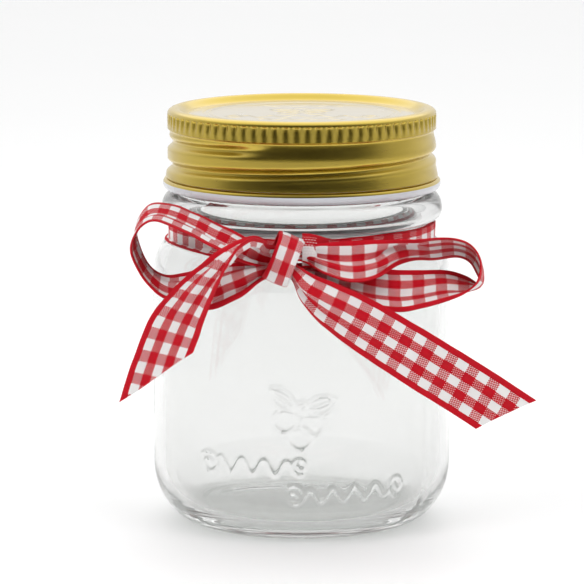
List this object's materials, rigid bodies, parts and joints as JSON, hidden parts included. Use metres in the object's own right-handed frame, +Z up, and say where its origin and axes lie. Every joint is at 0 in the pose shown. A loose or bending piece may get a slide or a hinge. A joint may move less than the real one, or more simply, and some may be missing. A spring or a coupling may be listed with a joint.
{
  "type": "mason jar",
  "caption": "Small clear glass preserving jar with a one-piece gold screw cap, a sealing gasket and a gingham ribbon tied in a bow round its neck.",
  "frame": {"origin": "on the jar's axis, in the plane that it stands on; the flat under the base is hollowed 0.4 mm above it", "axes": "+Z up along the jar's axis, -Y towards the bow, +X to the right as seen from the bow's side"},
  "size_m": [0.0867, 0.0786, 0.0892],
  "materials": {
    "clear_glass": "clear colourless pressed glass, glossy",
    "gold_lacquered_steel": "satin gold lacquer on tinplate, white lacquer inside and on the rolled lower edge",
    "gasket_liner": "soft matt off-white sealing compound",
    "gingham_ribbon": "red and white woven gingham check with red selvedges"
  },
  "bodies": {
    "jar": {"glass_jar": "clear_glass", "neck_ribbon": "gingham_ribbon", "bow_knot": "gingham_ribbon", "bow_loop_left": "gingham_ribbon", "bow_loop_right": "gingham_ribbon", "bow_tail_left": "gingham_ribbon", "bow_tail_right": "gingham_ribbon"},
    "gasket": {"sealing_gasket": "gasket_liner"},
    "cap": {"screw_cap": "gold_lacquered_steel"}
  },
  "joints": [
    {"name": "cap_rise", "type": "slide", "parent": "jar", "child": "gasket", "axis": [0, 0, 1], "range_m": [0, 0.01925]},
    {"name": "cap_turn", "type": "hinge", "parent": "gasket", "child": "cap", "pos_m": [0, 0, 0.0802], "axis": [0, 0, 1], "range_deg": [0, 1440]}
  ],
  "couplings": [
    {"joint": "cap_rise", "follows": "cap_turn", "m_per_rad": 0.00076394}
  ]
}
